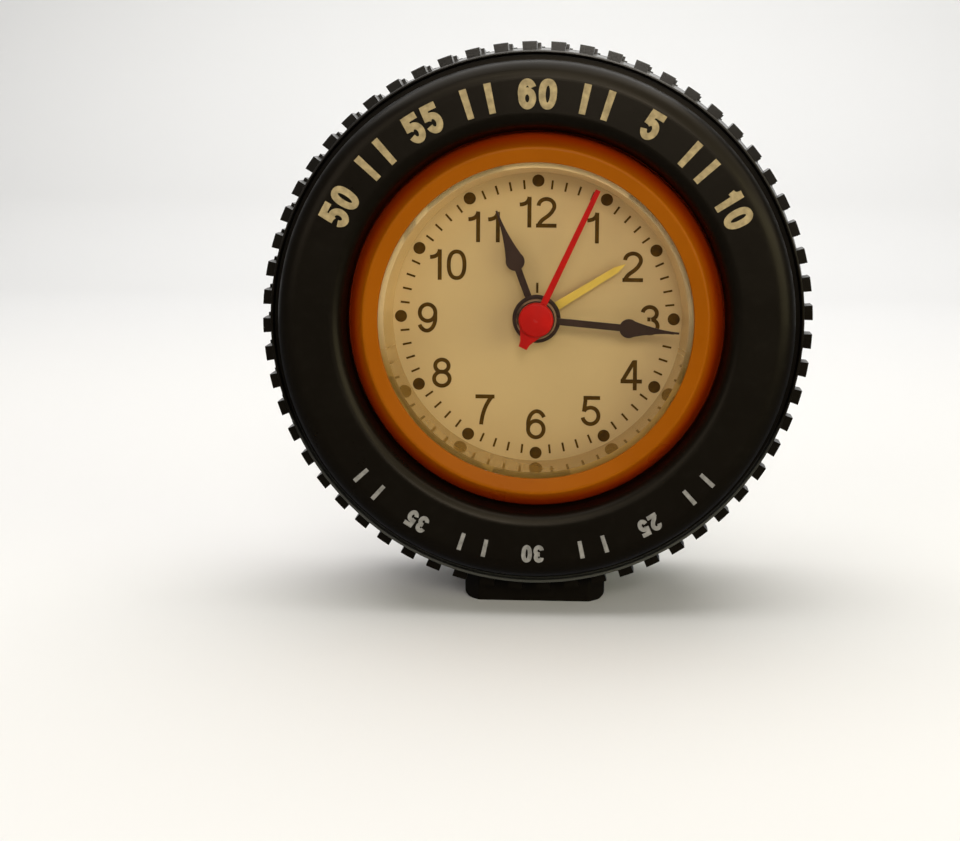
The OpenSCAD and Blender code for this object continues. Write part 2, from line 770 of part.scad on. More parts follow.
// Iron yoke round the rotor, with the core bar through the coil
module stator() {
    top = box_y1 - plate_t - 3;
    x0 = rotor_at[0] - 10;
    x1 = rotor_at[0] + 10;
    color("#7d8084") translate([0, 0, third_z + wheel_t + 0.2]) difference() {
        union() {
            at(rotor_at) rod(4.1, 0, 1);
            translate([x0 - 1, rotor_at[1] - 1.5, 0]) cube([22, 3, 1]);
            translate([x0 - 1, rotor_at[1] - 1.5, 0]) cube([2, top - rotor_at[1] + 2.3, 1]);
            translate([x1 - 1, rotor_at[1] - 1.5, 0]) cube([2, top - rotor_at[1] + 2.3, 1]);
            translate([x0 - 1, top - 0.8, 0]) cube([22, 1.6, 1]);
        }
        at(rotor_at) rod(3, -1, 2);
    }
}

module coil_bobbin() {
    top = box_y1 - plate_t - 3;
    z = third_z + wheel_t + 0.7;
    color("#2f5f8f") translate([rotor_at[0], top, z]) rotate([0, 90, 0]) difference() {
        union() {
            rod(1.5, -7, 7);
            for (s = [-6.6, 6.6]) translate([0, 0, s - 0.4]) cylinder(r = 2.6, h = 0.8);
        }
        translate([-0.6, -0.9, -9]) cube([1.2, 1.8, 18]);
    }
}

module coil_winding() {
    top = box_y1 - plate_t - 3;
    z = third_z + wheel_t + 0.7;
    color("#b5652f") translate([rotor_at[0], top, z]) rotate([0, 90, 0]) tube(1.6, 2.3, -6.1, 6.1);
}

// Electrics

module circuit_board() {
    color("#2c6b3f") difference() {
        slab(box_x - 10.6, -8.2, box_x - plate_t - 0.4, box_y1 - plate_t - 2.4, 0.5,
             centre_z, centre_z + 1);
        at(setting_at) rod(1.6, centre_z - 1, centre_z + 2);
    }
}

module crystal_can() {
    color("#c9cacb") translate([box_x - 6, -2, centre_z + 2.02]) rotate([-90, 0, 0]) cylinder(r = 1, h = 6);
}

module chip() {
    color("#17181a") translate([box_x - 6, 12, centre_z + 1])
        rotate_extrude() polygon(rounded([[0, 0], [2.4, 0], [2.1, 0.9, 0.4], [0, 1.1]]));
}

module buzzer() {
    color("#1d1e20") at(buzzer_at) tube(0.9, 4.7, rear_z, rear_z + 3.2);
}

// Leaf spring under the alarm wheel that closes the alarm circuit
module alarm_spring() {
    color("#c8a15a") translate([0, 3, 0]) rotate([90, 0, 0]) linear_extrude(1.6)
        polygon([[box_x - 8, centre_z + 1], [box_x - 7.4, centre_z + 1], [box_x - 7.4, alarm_z + 0.9],
                 [setting_at[0] + 5.6, alarm_z + 1.1], [setting_at[0] + 5.6, alarm_z + 0.8],
                 [box_x - 8, alarm_z + 0.6]]);
}

module cell() {
    color("#3d4a8c") translate([0, cell_y, cell_z]) rotate([0, 90, 0]) {
        rod(cell_r, -cell_l / 2, cell_l / 2 - 1.2);
        rod(2.7, cell_l / 2 - 1.3, cell_l / 2);
    }
}

module plus_contact() {
    x = box_x - plate_t;
    color("#c7c9cb") translate([0, 0, cell_z - 4]) linear_extrude(8)
        polygon([[x, cell_y - 4], [x, cell_y + 4], [x - 0.4, cell_y + 4], [x - 0.4, cell_y + 2],
                 [cell_l / 2, cell_y + 1], [cell_l / 2, cell_y - 1],
                 [x - 0.4, cell_y - 2], [x - 0.4, cell_y - 4]]);
}

module minus_contact() {
    x = box_x - plate_t;
    color("#c7c9cb") translate([0, 0, cell_z - 4]) linear_extrude(8)
        polygon([[-x, cell_y - 4], [-x, cell_y + 4], [-x + 0.4, cell_y + 4], [-x + 0.4, cell_y - 1.6],
                 [-cell_l / 2, cell_y + 2], [-cell_l / 2, cell_y + 1.4],
                 [-x + 0.4, cell_y - 3], [-x + 0.4, cell_y - 4]]);
}

// Back

module battery_door() {
    color("#1b1b1b") difference() {
        door_outline(fit, door_round - fit, panel_out, panel_out + door_t);
        translate([0, cell_y + door_h / 2 - fit - 2.4, panel_out - 3.6]) rotate([0, 90, 0])
            cylinder(r = 4.1, h = 12, center = true);
    }
}

// Knob with grip flutes, pushed on the end of its arbor
module set_knob(d, flutes) {
    r = d / 2;
    out = panel_out - 0.4;
    color("#1b1b1b") difference() {
        union() {
            mirror([0, 0, 1]) rotate_extrude() polygon([
                [0, -out], [r - 0.3, -out], [r, 0.3 - out], [r, knob_h - 0.8 - out],
                [r - 0.2, knob_h - 0.3 - out], [r - 0.8, knob_h - out], [0, knob_h - out]]);
            rod(2, out - 0.5, movement_back - 0.3);
        }
        for (i = [0 : flutes - 1]) at(polar(r + 0.3, 360 * i / flutes))
            rod(0.75, out - knob_h - 1, out + 1);
        rod(0.92, panel_out - 1.6, panel_in + 3);
    }
}

module time_knob() {
    at(minute_at) set_knob(time_knob_d, 20);
}

module alarm_knob() {
    at(setting_at) set_knob(alarm_knob_d, 16);
}

// Slide with its grip outside, a stem through the panel and a plate that holds it in
module alarm_switch() {
    y = -switch_travel / 2;
    color("#c9c4b4") at(switch_at + [0, y]) {
        slab(-2.2, -2, 2.2, 2, 0.5, panel_out - 2.2, panel_out - 0.1);
        slab(-1.4, -1.4, 1.4, 1.4, 0.3, panel_out - 0.5, panel_in + 0.2);
        slab(-3, -3, 3, 3, 0.4, panel_in + 0.08, panel_in + 0.48);
        slab(-1.2, -1.2, 1.2, 1.2, 0.2, panel_in + 0.3, rear_z - 0.3);
    }
}

module case_screws() {
    color("#8f8f8d") three(column_r, 90)
        screw(1.5, 1.0, -half_depth + 3, -half_depth + 4.5, 6);
}

placed() tread_barrel();
placed() front_sidewall();
placed() rear_case();
placed() foot();
placed() rim_ring();
placed() lens();
placed() inner_ring();
placed() dial();
placed() alarm_hand();
placed() hour_hand();
placed() minute_hand();
placed() second_hand();
placed() front_plate();
placed() movement_case();
placed() train_bridge();
placed() rotor();
placed() stator();
placed() coil_bobbin();
placed() coil_winding();
placed() step_wheel();
placed() seconds_wheel();
placed() third_wheel();
placed() centre_wheel();
placed() minute_wheel();
placed() hour_wheel();
placed() alarm_wheel();
placed() alarm_setting_wheel();
placed() circuit_board();
placed() crystal_can();
placed() chip();
placed() buzzer();
placed() alarm_spring();
placed() cell();
placed() plus_contact();
placed() minus_contact();
placed() battery_door();
placed() time_knob();
placed() alarm_knob();
placed() alarm_switch();
placed() case_screws();
placed() ring_screws();
placed() movement_screws();
placed() bridge_screws();
placed() foot_screws();
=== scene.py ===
"""Looks of the tyre table clock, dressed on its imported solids."""

import json
import math

import bmesh
import bpy
from mathutils import Matrix, Quaternion, Vector


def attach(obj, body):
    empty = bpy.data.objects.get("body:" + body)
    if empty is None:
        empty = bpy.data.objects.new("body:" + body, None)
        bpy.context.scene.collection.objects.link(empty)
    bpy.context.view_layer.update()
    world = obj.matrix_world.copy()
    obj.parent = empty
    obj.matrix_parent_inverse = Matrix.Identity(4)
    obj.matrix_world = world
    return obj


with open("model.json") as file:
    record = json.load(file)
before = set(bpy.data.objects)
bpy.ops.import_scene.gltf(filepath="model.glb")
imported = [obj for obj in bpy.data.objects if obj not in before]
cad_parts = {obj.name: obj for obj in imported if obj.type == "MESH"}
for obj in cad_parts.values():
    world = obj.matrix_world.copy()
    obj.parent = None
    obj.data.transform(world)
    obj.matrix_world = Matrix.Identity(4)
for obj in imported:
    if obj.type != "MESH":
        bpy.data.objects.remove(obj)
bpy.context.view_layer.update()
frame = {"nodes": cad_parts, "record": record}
scene = bpy.context.scene

# Pieces are drawn face up in millimetres, x to the right, y up the dial and z toward the viewer,
# then stood up with the dial axis this high over the table.
AXIS_UP = 50.5
MM = 0.001
PER_METRE = 1000
STAND = Matrix.Scale(MM, 4) @ Matrix(
    ((1, 0, 0, 0), (0, 0, -1, 0), (0, 1, 0, AXIS_UP), (0, 0, 0, 1))
)

# Print on the dial
DIAL_FACE = 10.9
PRINT_LEVEL = DIAL_FACE + 0.005
PRINT_THICK = 0.025
DOT_CIRCLE, DOT_RADIUS = 24.0, 1.07
TICK_CIRCLE, TICK_SIZE = 23.4, (0.36, 1.6)
HUB_TICK_UP, HUB_TICK_SIZE = 5.25, (0.4, 1.8)
NUMBER_HEIGHT, NUMBER_STROKE, NUMBER_WIDTH = 5.35, 0.7, 1.19
NUMBER_OVAL, NUMBER_DROP = (19.3, 18.7), 0.22

# Raised numbers on the sidewall: their thickness, how deep they are sunk, and the longest edge that
# still follows its round form
RAISED_THICK, RAISED_SUNK, LONGEST_EDGE = 0.3, 0.12, 0.9

# Tread: a radius just under its floor, half its width squared, and how far the floor and the tops of
# the lugs rise toward its middle
UNDER_TREAD, TREAD_HALF_SQUARED, FLOOR_CROWN, LUG_CROWN = 45.2, 207.0, 2.2, 0.8

# Radius of the minute hand's hub
MINUTE_HUB = 3.5

# Most of a noise lies between these values.
NOISE_SPAN = (0.3, 0.7)


class Wire:
    """One value in a finish. Arithmetic on it adds Math nodes to that finish."""

    def __init__(self, finish, socket):
        self.finish = finish
        self.socket = socket

    def math(self, operation, *values):
        return self.finish.node("Math", dict(enumerate(values)), operation=operation)

    def __add__(self, other):
        return self.math("ADD", self, other)

    def __radd__(self, other):
        return self.math("ADD", other, self)

    def __sub__(self, other):
        return self.math("SUBTRACT", self, other)

    def __rsub__(self, other):
        return self.math("SUBTRACT", other, self)

    def __mul__(self, other):
        return self.math("MULTIPLY", self, other)

    def __rmul__(self, other):
        return self.math("MULTIPLY", other, self)

    def __truediv__(self, other):
        return self.math("DIVIDE", self, other)

    def __pow__(self, other):
        return self.math("POWER", self, other)

    def __gt__(self, other):
        return self.math("GREATER_THAN", self, other)

    def __lt__(self, other):
        return self.math("LESS_THAN", self, other)


class Finish:
    """The material of one of the clock's surfaces, wired node by node."""

    def __init__(self, name):
        self.material = bpy.data.materials.new(name)
        self.material.use_nodes = True
        self.tree = self.material.node_tree
        self.tree.nodes.clear()

    def node(self, kind, sockets=None, out=0, **settings):
        made = self.tree.nodes.new("ShaderNode" + kind)
        for name, value in settings.items():
            setattr(made, name, value)
        for key, value in (sockets or {}).items():
            into = made.inputs[key]
            if isinstance(value, Wire):
                self.tree.links.new(value.socket, into)
            elif into.type == "RGBA":
                into.default_value = (*value, 1)
            else:
                into.default_value = value
        return Wire(self, made.outputs[out]) if made.outputs else None

    def spot(self):
        return self.node("TexCoord", out="Object")

    def axes(self):
        """Distances along the three axes of the clock, in millimetres from the dial axis."""
        centred = self.node(
            "Mapping",
            {"Vector": self.spot(), "Location": (0, 0, -AXIS_UP), "Scale": (PER_METRE,) * 3},
        )
        split = self.node("SeparateXYZ", {0: centred}).socket.node
        return [Wire(self, s) for s in split.outputs]

    def from_axis(self):
        """Distance from the dial axis, in millimetres."""
        x, _, z = self.axes()
        return (x * x + z * z) ** 0.5

    def noise(self, scale, detail=2.0, rough=0.5, at=None):
        """Cloudy noise whose clouds come about so many times in a millimetre."""
        return self.node(
            "TexNoise",
            {"Vector": at or self.spot(), "Scale": scale * PER_METRE, "Detail": detail, "Roughness": rough},
        )

    def stretched(self, scale, along):
        """Noise drawn out along one axis, as brushing or rolling leaves it."""
        drawn = self.node("Mapping", {"Vector": self.spot(), "Scale": along})
        return self.noise(scale, 3.0, 0.6, drawn)

    def span(self, value, low, high, to_low=0.0, to_high=1.0):
        return self.node(
            "MapRange",
            {"Value": value, "From Min": low, "From Max": high, "To Min": to_low, "To Max": to_high},
        )

    def blend(self, factor, first, second):
        return self.node("Mix", {0: factor, 6: first, 7: second}, out=2, data_type="RGBA")

    def bump(self, height, strength, depth):
        """Relief of so many millimetres."""
        return self.node("Bump", {"Height": height, "Strength": strength, "Distance": depth * MM})

    def done(self, sockets):
        shader = self.node("BsdfPrincipled", sockets)
        self.node("OutputMaterial", {"Surface": shader})
        return self.material


def shade(colour, by):
    return tuple(min(1.0, c * by) for c in colour)


def moulded(name, colour, rough, grain=0.02, gloss=0.5):
    """Moulded plastic: soft flow clouds, an uneven polish and a fine spark grain."""
    f = Finish(name)
    clouds = f.noise(0.06, 4.0)
    fine = f.noise(2.2, 3.0, 0.6)
    scuffs = f.span(f.stretched(0.35, (1, 6, 1.6)), 0.58, 0.72)
    tone = f.blend(f.span(clouds, *NOISE_SPAN), shade(colour, 0.86), shade(colour, 1.12))
    return f.done({
        "Base Color": f.blend(scuffs * 0.12, tone, shade(colour, 1.5)),
        "Roughness": f.span(clouds, *NOISE_SPAN, rough * 0.85, rough * 1.12) + fine * 0.06 + scuffs * 0.08,
        "Normal": f.bump(fine, 0.35, grain),
        "Specular IOR Level": gloss,
    })


def tyre_black():
    """Black satin plastic: upper lugs paler, partly wear and partly painted sheen, and shinier; a painted
    reflection as a pale lower rim; dust in the grooves.
    """
    f = Finish("tyre_black")
    x, y, z = f.axes()
    r = (x * x + z * z) ** 0.5
    rise = 1 - y * y / TREAD_HALF_SQUARED
    clouds = f.noise(0.09, 4.0)
    fine = f.noise(2.6, 3.0, 0.6)
    dust = f.span(f.noise(0.5, 5.0, 0.65), 0.52, 0.75)
    upper = f.span(z, 5, 42)
    # Lug tops rubbed paler, only on the upper half of the tyre: partly wear, partly a painted sheen where
    # light falls on the upper lugs.
    rub_and_sheen = f.span(r - rise * LUG_CROWN, 47.4, 47.65) * f.span(f.noise(0.8, 3.0), 0.35, 0.65) * upper
    low = 1 - f.span(r - rise * FLOOR_CROWN, 45.8, 46.3)
    groove = f.span(r, UNDER_TREAD, 45.5) * low * (rise > 0)
    # Painted reflection: a pale line along the lower front edge of the rim, where light from below catches
    # it.
    rim_reflection = f.span(r, UNDER_TREAD, 45.4) * (y < -14.8) * f.span(z, -16, -34)
    base_and_rim_reflection = f.blend(rim_reflection, (0.0046, 0.0034, 0.0021), (0.06, 0.06, 0.052))
    rubbed_and_sheen = f.blend(rub_and_sheen * 0.6, base_and_rim_reflection, (0.045, 0.042, 0.037))
    return f.done({
        "Base Color": f.blend(dust * (groove * 0.25 + 0.012), rubbed_and_sheen, (0.1, 0.09, 0.075)),
        "Roughness": f.span(clouds, *NOISE_SPAN, 0.24, 0.32) + fine * 0.06 + rub_and_sheen * 0.08 + dust * 0.05,
        "Normal": f.bump(fine, 0.25, 0.012),
        "Specular IOR Level": 0.11,
        "Specular Tint": (1.0, 0.88, 0.7),
        "Coat Weight": f.span(r, UNDER_TREAD, 45.4) * upper * 0.8,
        "Coat Roughness": 0.2,
    })


def rim_orange():
    """Satin orange of the rim ring, painted redder down its outer flank as painted shade."""
    f = Finish("rim_orange")
    r = f.from_axis()
    flow = f.noise(0.05, 3.0)
    fine = f.noise(1.6, 2.0)
    marks = f.span(f.stretched(0.5, (1, 3, 1)), 0.6, 0.74)
    face = f.blend(f.span(flow, *NOISE_SPAN), (0.275, 0.069, 0.0006), (0.315, 0.083, 0.0008))
    return f.done({
        # Painted shade: the outer flank is redder and much lower in green, as the orange looks in the
        # shadow of the gap.
        "Base Color": f.blend(f.span(r, 29.3, 31.2), face, (0.34, 0.029, 0.0008)),
        "Roughness": f.span(flow, *NOISE_SPAN, 0.26, 0.36) + marks * 0.12,
        "Normal": f.bump(fine, 0.2, 0.012),
        "Specular IOR Level": 0.05,
    })


def lens_clear():
    """Clear moulded lens: light passes straight through, and only its gloss shows, most at a slant."""
    f = Finish("lens_clear")
    smear = f.noise(0.12, 4.0)
    shine = f.node("BsdfPrincipled", {
        "Base Color": (0.9, 0.92, 0.93),
        "Metallic": 1.0,
        "Roughness": f.span(smear, 0.35, 0.7, 0.03, 0.09),
    })
    clear = f.node("BsdfTransparent", {"Color": (0.97, 0.98, 0.975)})
    slant = f.node("LayerWeight", {"Blend": 0.5}, out="Facing")
    mixed = f.node("MixShader", {0: slant**5.0 * 0.8 + 0.008, 1: clear, 2: shine})
    f.node("OutputMaterial", {"Surface": mixed})
    return f.material


def dial_cream():
    """Printed dial sheet: warm cream with a fine paper tooth."""
    f = Finish("dial_cream")
    tooth = f.noise(5.0, 3.0, 0.6)
    clouds = f.noise(0.05, 3.0)
    return f.done({
        "Base Color": f.blend(f.span(clouds, *NOISE_SPAN), (0.535, 0.356, 0.15), (0.585, 0.392, 0.168)),
        "Roughness": 0.52 + tooth * 0.16,
        "Normal": f.bump(tooth, 0.2, 0.006),
        "Specular IOR Level": 0.35,
    })


def inner_cream():
    """Wall between dial and lens: dull and painted pale above as painted light, polished and painted darker
    below as painted shade, where it mirrors the print.
    """
    f = Finish("inner_cream")
    z = f.axes()[2]
    flow = f.noise(0.08, 3.0)
    fine = f.noise(1.2, 2.0)
    # Painted light and shade: the upper wall gets a pale tone, the lower wall a darker one; the lower wall
    # is also polished.
    polish_and_shade = f.span(z, 2.0, -9.0)
    tone = f.blend(f.span(flow, *NOISE_SPAN), (0.36, 0.20, 0.045), (0.42, 0.235, 0.055))
    return f.done({
        "Base Color": f.blend(polish_and_shade, (0.72, 0.48, 0.21), tone),
        "Roughness": 0.6 - polish_and_shade * 0.56 + flow * 0.06,
        "Normal": f.bump(fine, 0.05, 0.004),
        "Specular IOR Level": 0.7,
        "Coat Weight": polish_and_shade * 0.6,
        "Coat Roughness": 0.04,
    })


def ink(name, colour):
    """Screen printed ink, thin and a little uneven."""
    f = Finish(name)
    blot = f.noise(0.9, 4.0)
    return f.done({
        "Base Color": f.blend(f.span(blot, 0.35, 0.7), shade(colour, 0.8), shade(colour, 1.35)),
        "Roughness": f.span(blot, *NOISE_SPAN, 0.45, 0.6),
        "Normal": f.bump(f.noise(6.0, 2.0), 0.25, 0.004),
        "Specular IOR Level": 0.06,
    })


def painted(name, colour, rough, along, highlight_edge=None):
    """Lacquer over rolled sheet, with a painted highlight just inside the edge of a hub where one is given.
    """
    f = Finish(name)
    rolled = f.stretched(1.2, along)
    clouds = f.noise(0.3, 3.0)
    tone = f.blend(f.span(clouds, *NOISE_SPAN), shade(colour, 0.85), shade(colour, 1.15))
    if highlight_edge:
        # Painted highlight: a thin brassy ring just inside the hub's edge, broken up by noise, where light
        # glints on it.
        r = f.from_axis()
        patches = f.span(f.noise(0.6, 3.0), 0.3, 0.55)
        hub_highlight = (r > highlight_edge - 0.3) * (r < highlight_edge) * patches
        tone = f.blend(hub_highlight, tone, (0.26, 0.15, 0.08))
    return f.done({
        "Base Color": tone,
        "Roughness": f.span(rolled, *NOISE_SPAN, rough * 0.8, rough * 1.2),
        "Normal": f.bump(rolled, 0.2, 0.006),
        "Specular IOR Level": 0.09,
    })


def metal(name, colour, rough, along=(1, 8, 1)):
    """Bare metal with drawn scratches and a few dull stains."""
    f = Finish(name)
    drawn = f.stretched(1.8, along)
    stain = f.span(f.noise(0.25, 4.0), 0.5, 0.75)
    return f.done({
        "Base Color": f.blend(stain * 0.5, colour, shade(colour, 0.6)),
        "Metallic": 1.0,
        "Roughness": f.span(drawn, *NOISE_SPAN, rough * 0.75, rough * 1.25) + stain * 0.12,
        "Normal": f.bump(drawn, 0.3, 0.008),
    })


def winding_copper():
    """Turns of lacquered wire side by side along the bobbin."""
    f = Finish("winding_copper")
    x = f.axes()[0]
    phase = x * 28.0
    turns = phase.math("SINE", phase)
    return f.done({
        "Base Color": f.blend(f.span(turns, -1, 1), (0.22, 0.06, 0.02), (0.62, 0.24, 0.09)),
        "Metallic": 0.9,
        "Roughness": f.span(f.noise(1.0), *NOISE_SPAN, 0.25, 0.4),
        "Normal": f.bump(turns, 0.6, 0.05),
    })


def board_green():
    """Circuit board with lacquered tracks and tinned pads."""
    f = Finish("board_green")
    black, white = (0, 0, 0), (1, 1, 1)
    tracks = f.node("TexBrick", {
        "Vector": f.spot(),
        "Scale": 520,
        "Mortar Size": 0.03,
        "Color1": black,
        "Color2": black,
        "Mortar": white,
    })
    pads = f.node("TexVoronoi", {"Vector": f.spot(), "Scale": 420})
    tinned = pads < 0.16
    green = f.blend(tracks, (0.018, 0.11, 0.04), (0.05, 0.22, 0.07))
    return f.done({
        "Base Color": f.blend(tinned, green, (0.6, 0.6, 0.58)),
        "Metallic": tinned * 0.9,
        "Roughness": f.span(f.noise(0.8), *NOISE_SPAN, 0.28, 0.42),
        "Normal": f.bump(tracks, 0.4, 0.03),
    })


def cell_wrap():
    """Plain shrink wrap of the cell: dark blue with a copper band at the positive end."""
    f = Finish("cell_wrap")
    x = f.axes()[0]
    band = x > 10.5
    end = x.math("ABSOLUTE", x) > 24.0
    crease = f.stretched(0.8, (0.4, 2, 2))
    wrap = f.blend(band, (0.02, 0.035, 0.11), (0.42, 0.16, 0.05))
    return f.done({
        "Base Color": f.blend(end, wrap, (0.62, 0.62, 0.62)),
        "Metallic": f.span(end + band * 0.4, 0, 1, 0.2, 1.0),
        "Roughness": f.span(crease, *NOISE_SPAN, 0.22, 0.36),
        "Normal": f.bump(crease, 0.2, 0.02),
    })


finishes = {
    "tyre_black": tyre_black(),
    "rim_orange": rim_orange(),
    "lens_clear": lens_clear(),
    "inner_cream": inner_cream(),
    "dial_cream": dial_cream(),
    "hand_black": painted("hand_black", (0.042, 0.022, 0.015), 0.34, (1, 8, 1), MINUTE_HUB),
    "hand_red": painted("hand_red", (0.44, 0.006, 0.003), 0.36, (4, 1, 1)),
    "hand_yellow": painted("hand_yellow", (0.68, 0.44, 0.075), 0.4, (1, 8, 1)),
    "movement_grey": moulded("movement_grey", (0.5, 0.49, 0.45), 0.5),
    "wheel_white": moulded("wheel_white", (0.66, 0.64, 0.58), 0.35),
    "wheel_yellow": moulded("wheel_yellow", (0.6, 0.4, 0.06), 0.35),
    "magnet_grey": metal("magnet_grey", (0.16, 0.16, 0.17), 0.5),
    "yoke_steel": metal("yoke_steel", (0.42, 0.43, 0.45), 0.38),
    "bobbin_blue": moulded("bobbin_blue", (0.04, 0.13, 0.3), 0.4),
    "winding_copper": winding_copper(),
    "board_green": board_green(),
    "can_metal": metal("can_metal", (0.62, 0.62, 0.62), 0.26, (4, 1, 1)),
    "resin_black": moulded("resin_black", (0.014, 0.014, 0.015), 0.34),
    "spring_brass": metal("spring_brass", (0.66, 0.45, 0.16), 0.3),
    "cell_wrap": cell_wrap(),
    "contact_nickel": metal("contact_nickel", (0.6, 0.59, 0.56), 0.28),
    "back_black": moulded("back_black", (0.007, 0.0062, 0.0055), 0.42, 0.025, 0.25),
    "switch_cream": moulded("switch_cream", (0.55, 0.5, 0.38), 0.4),
    "screw_steel": metal("screw_steel", (0.5, 0.5, 0.5), 0.34),
}
for part in frame["record"]["subparts"]:
    solid = frame["nodes"][part["node"]].data
    solid.materials.clear()
    solid.materials.append(finishes[part["material_slot"]])

dial_ink = ink("dial_ink", (0.068, 0.03, 0.001))
raised_cream = ink("raised_cream", (0.34, 0.26, 0.135))
raised_silver = ink("raised_silver", (0.22, 0.21, 0.195))


def piece(name, shape, finish, body="case"):
    """Stands a shape up in its place as a piece of the clock that rides on a body."""
    shape.transform(STAND)
    bmesh.ops.recalc_face_normals(shape, faces=shape.faces)
    mesh = bpy.data.meshes.new(name)
    shape.to_mesh(mesh)
    shape.free()
    mesh.materials.append(finish)
    made = bpy.data.objects.new(name, mesh)
    scene.collection.objects.link(made)
    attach(made, body)


def arc(cx, cy, rx, ry, start, end, steps=24, square=2.0):
    """Points along an oval arc; a higher square gives it flatter sides."""
    line = []
    for i in range(steps + 1):
        a = math.radians(start + (end - start) * i / steps)
        c, s = math.cos(a), math.sin(a)
        line.append((
            cx + rx * math.copysign(abs(c) ** (2 / square), c),
            cy + ry * math.copysign(abs(s) ** (2 / square), s),
        ))
    return line


def bow(p, q, s, steps=8):
    """Points along a bow from p to s that leans towards q."""
    line = []
    for i in range(steps + 1):
        t = i / steps
        line.append(tuple(a * (1 - t) ** 2 + 2 * b * t * (1 - t) + c * t * t for a, b, c in zip(p, q, s)))
    return line


def digit_lines(digit, h):
    """Centre lines of a digit in a box half a unit wide and one unit tall, for strokes of half width h."""
    if digit == "9":
        return [[(0.5 - x, 1 - y) for x, y in line] for line in digit_lines("6", h)]
    return {
        "0": [arc(0.25, 0.5, 0.25, 0.5, 0, 360, 40, 2.35)],
        "1": [[(0.34, -h), (0.34, 1 + h)], bow((0.03, 0.785), (0.31, 0.79), (0.34, 1 + h))],
        "2": [
            arc(0.25, 0.735, 0.25, 0.265, 178, -22) + bow((0.46, 0.58), (0.38, 0.42), (0.2, 0.28), 4)[1:]
            + bow((0.2, 0.28), (0.03, 0.15), (0.0, -h * 0.6), 6)[1:],
            [(-h, 0), (0.5 + h, 0)],
        ],
        "3": [
            arc(0.245, 0.76, 0.225, 0.24, 172, -78),
            [(0.17, 0.53), (0.27, 0.53)],
            arc(0.245, 0.27, 0.255, 0.27, 76, -172),
        ],
        "4": [
            [(0.38, -h), (0.38, 1 + h)],
            [(0.35, 1 + h * 0.4), (-h * 0.3, 0.27)],
            [(-h, 0.265), (0.53 + h, 0.265)],
        ],
        "5": [
            [(0.47 + h, 1), (0.09 - h, 1)],
            [(0.095, 1 + h * 0.5), (0.035, 0.47)],
            arc(0.245, 0.315, 0.255, 0.315, 146, -168, 28),
        ],
        "6": [arc(0.25, 0.315, 0.25, 0.315, 0, 360, 36), arc(0.275, 0.5, 0.275, 0.5, 197, 33, 28)],
        "7": [[(-h * 0.5, 1), (0.5 + h, 1)], bow((0.49, 1), (0.2, 0.58), (0.15, -h), 12)],
        "8": [arc(0.25, 0.765, 0.215, 0.235, 0, 360, 32), arc(0.25, 0.27, 0.25, 0.27, 0, 360, 32)],
    }[digit]


def stroke(shape, line, half):
    """Draws a flat stroke along a line of points by extruding its first cross edge from point to point."""
    closed = math.dist(line[0], line[-1]) < 1e-6
    points = [Vector(p) for p in (line[:-1] if closed else line)]
    n = len(points)
    pairs = []
    for i, p in enumerate(points):
        before = points[i - 1] if closed or i else p
        after = points[(i + 1) % n] if closed or i < n - 1 else p
        ahead = (after - before).normalized()
        side = Vector((-ahead.y, ahead.x)) * half
        pairs.append((p + side, p - side))
    left, right = (shape.verts.new((q.x, q.y, 0)) for q in pairs[0])
    first = edge = shape.edges.new((left, right))
    for a, b in pairs[1:]:
        out = bmesh.ops.extrude_edge_only(shape, edges=[edge])["geom"]
        edge = next(e for e in out if isinstance(e, bmesh.types.BMEdge))
        # the new edge keeps the order of the edge that it came from
        for v, q in zip(edge.verts, (a, b)):
            v.co = (q.x, q.y, 0)
    if closed:
        bmesh.ops.bridge_loops(shape, edges=[edge, first])


def thicken(shape, by):
    """Gives flat shapes their thickness toward the viewer."""
    out = bmesh.ops.extrude_face_region(shape, geom=shape.faces[:])["geom"]
    top = [v for v in out if isinstance(v, bmesh.types.BMVert)]
    bmesh.ops.translate(shape, vec=(0, 0, by), verts=top)


def bar(shape, size, place):
    """Adds a flat bar of a width and a height, its middle at a place."""
    flat = place @ Matrix.Diagonal((*size, 1, 1))
    bmesh.ops.create_grid(shape, x_segments=1, y_segments=1, size=0.5, matrix=flat)


def join(shape, other):
    """Adds one shape to another."""
    mesh = bpy.data.meshes.new("joined")
    other.to_mesh(mesh)
    other.free()
    shape.from_mesh(mesh)
    bpy.data.meshes.remove(mesh)


def number(text, height, stroke_w, thick, width=1.0, gap=0.11):
    """A number lying flat, its middle at the origin, so many millimetres tall and thick."""
    unit = height - stroke_w
    h = stroke_w / unit / 2
    shape = bmesh.new()
    for i, digit in enumerate(text):
        shift = i * (0.5 * width + 2 * h + gap)
        for level, line in enumerate(digit_lines(digit, h)):
            one = bmesh.new()
            stroke(one, [(x * width + shift, y) for x, y in line], h)
            one.transform(Matrix.Scale(unit, 4))
            # crossing strokes end at slightly different levels, so that no two faces coincide
            thicken(one, thick * (1 + 0.06 * level))
            join(shape, one)
    lo, hi = (f(v.co.x for v in shape.verts) for f in (min, max))
    shape.transform(Matrix.Translation((-(lo + hi) / 2, -unit / 2, 0)))
    return shape


def turned(angle):
    """Turns clockwise from twelve about the dial axis."""
    return Matrix.Rotation(math.radians(-angle), 4, "Z")


